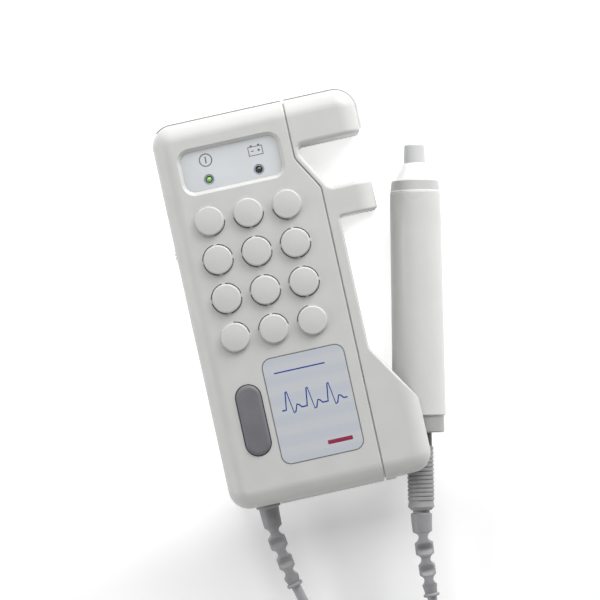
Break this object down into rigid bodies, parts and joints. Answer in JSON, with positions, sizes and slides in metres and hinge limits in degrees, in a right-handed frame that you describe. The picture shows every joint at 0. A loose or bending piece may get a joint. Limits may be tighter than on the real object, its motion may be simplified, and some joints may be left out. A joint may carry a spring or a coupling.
{
  "type": "vascular doppler",
  "caption": "Handheld audio vascular doppler: a pocket handset with a speaker grille, power button and probe holder, and a pencil ultrasound probe on a lead.",
  "frame": {"origin": "middle of the handset's flat back face, which it rests on", "axes": "+Z out of the handset's front face, +Y towards its top end, +X towards the side that holds the probe"},
  "size_m": [0.0985, 0.2451, 0.0288],
  "materials": {
    "housing_plastic": "fine textured moulded plastic, pale warm grey",
    "window_film": "smooth pale blue-grey window film",
    "lamp_surround": "blue-grey moulded plastic",
    "black_plastic": "black moulded plastic",
    "green_lens": "clear green lens",
    "dark_lens": "dark smoked lens",
    "label_film": "smooth printed film",
    "button_rubber": "dark grey silicone",
    "switch_white": "white moulded plastic",
    "wheel_plastic": "grey knurled plastic",
    "board_green": "green circuit board",
    "can_metal": "bright can",
    "speaker_foam": "dark foam",
    "speaker_steel": "plated steel",
    "cone_paper": "dark pressed paper",
    "battery_jacket": "plain dark jacket",
    "wire_red": "red insulated wire",
    "screw_steel": "plated steel",
    "probe_shell": "smooth light grey moulded plastic",
    "probe_white": "smooth white moulded plastic",
    "probe_grey": "smooth mid grey moulded plastic",
    "crystal_ceramic": "fired ceramic",
    "backing_resin": "cast resin",
    "pin_brass": "bright brass",
    "plug_rubber": "dark grey moulded rubber",
    "lead_sheath": "mid grey cable sheath"
  },
  "bodies": {
    "handset": {"front_shell": "housing_plastic", "rear_shell": "housing_plastic", "probe_holder": "housing_plastic", "window_panel": "window_film", "lamp_sleeves": "lamp_surround", "power_switch": "black_plastic", "volume_control": "black_plastic", "headphone_jack": "black_plastic", "board_chips": "black_plastic", "battery_snap": "black_plastic", "plug_nose": "black_plastic", "lead_connector": "black_plastic", "power_lamp": "green_lens", "battery_lamp": "dark_lens", "front_label": "label_film", "main_board": "board_green", "board_capacitors": "can_metal", "speaker_gasket": "speaker_foam", "battery_pad": "speaker_foam", "speaker_frame": "speaker_steel", "speaker_magnet": "speaker_steel", "speaker_surround": "cone_paper", "battery": "battery_jacket", "battery_leads": "wire_red", "housing_screws": "screw_steel", "holder_screws": "screw_steel", "plug_pins": "pin_brass", "plug_grip": "plug_rubber", "strain_relief_plug": "plug_rubber", "strain_relief_handset": "plug_rubber", "lead_stub": "lead_sheath", "cable_near_handset": "lead_sheath", "cable_near_plug": "lead_sheath", "cable_coil": "lead_sheath"},
    "probe": {"probe_rear_collar": "probe_grey", "probe_barrel": "probe_shell", "probe_ring": "probe_white", "probe_front_collar": "probe_shell", "probe_cone": "probe_white", "probe_tip": "probe_shell", "probe_crystals": "crystal_ceramic", "probe_backing": "backing_resin", "probe_board": "board_green", "probe_socket": "black_plastic"},
    "power_button": {"power_button": "button_rubber", "switch_plunger": "switch_white"},
    "volume_wheel": {"volume_wheel": "wheel_plastic"},
    "battery_cover": {"battery_cover": "housing_plastic"},
    "speaker_cone": {"speaker_cone": "cone_paper"}
  },
  "joints": [
    {"name": "probe_unplug", "type": "slide", "parent": "handset", "child": "probe", "axis": [0.1984, 0.9795, -0.0362], "range_m": [0, 0.02]},
    {"name": "button_press", "type": "slide", "parent": "handset", "child": "power_button", "axis": [0, 0, -1], "range_m": [0, 0.0008], "stiffness_N_per_m": 1500, "springref_m": -0.0002},
    {"name": "volume_turn", "type": "hinge", "parent": "handset", "child": "volume_wheel", "pos_m": [-0.0285, 0.024, 0.014], "axis": [0, 0, 1], "range_deg": [-140, 140]},
    {"name": "battery_cover_slide", "type": "slide", "parent": "handset", "child": "battery_cover", "axis": [0, -1, 0], "range_m": [0, 0.054]},
    {"name": "cone_stroke", "type": "slide", "parent": "handset", "child": "speaker_cone", "axis": [0, 0, 1], "range_m": [-0.0003, 0.0003], "stiffness_N_per_m": 800, "deforming": ["speaker_surround"]}
  ]
}
